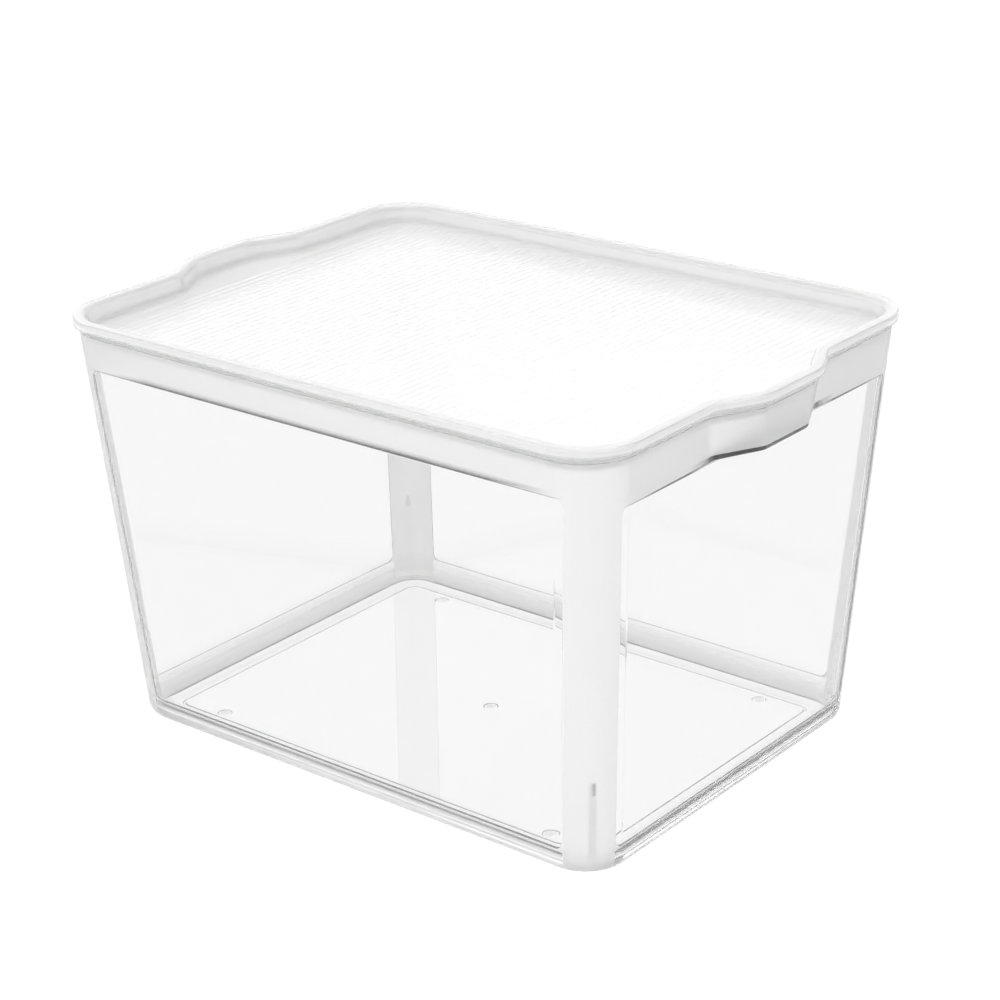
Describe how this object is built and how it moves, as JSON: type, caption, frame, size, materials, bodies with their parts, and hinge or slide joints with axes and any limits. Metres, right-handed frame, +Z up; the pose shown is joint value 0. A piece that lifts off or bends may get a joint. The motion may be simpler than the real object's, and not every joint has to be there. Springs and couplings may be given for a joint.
{
  "type": "stackable storage bin",
  "caption": "Clear moulded storage bin with tapered walls, frosted top band and corners, end handle lips and a lift-off tray lid that takes another bin on top.",
  "frame": {"origin": "middle of the flat base, on the surface the bin stands on", "axes": "+Z up, +X along the long side from handle to handle, +Y across the width"},
  "size_m": [0.322, 0.234, 0.194],
  "materials": {
    "clear_tub": "clear rigid plastic, polished panels and floor, fine frosted grain on the top band and the corner columns",
    "clear_lid": "clear rigid plastic, polished, with fine straight ribs across the plate"
  },
  "bodies": {
    "tub": {"tub": "clear_tub"},
    "lid": {"lid": "clear_lid"}
  },
  "joints": [
    {"name": "lid_lift", "type": "slide", "parent": "tub", "child": "lid", "axis": [0, 0, 1], "range_m": [0, 0.06]}
  ]
}
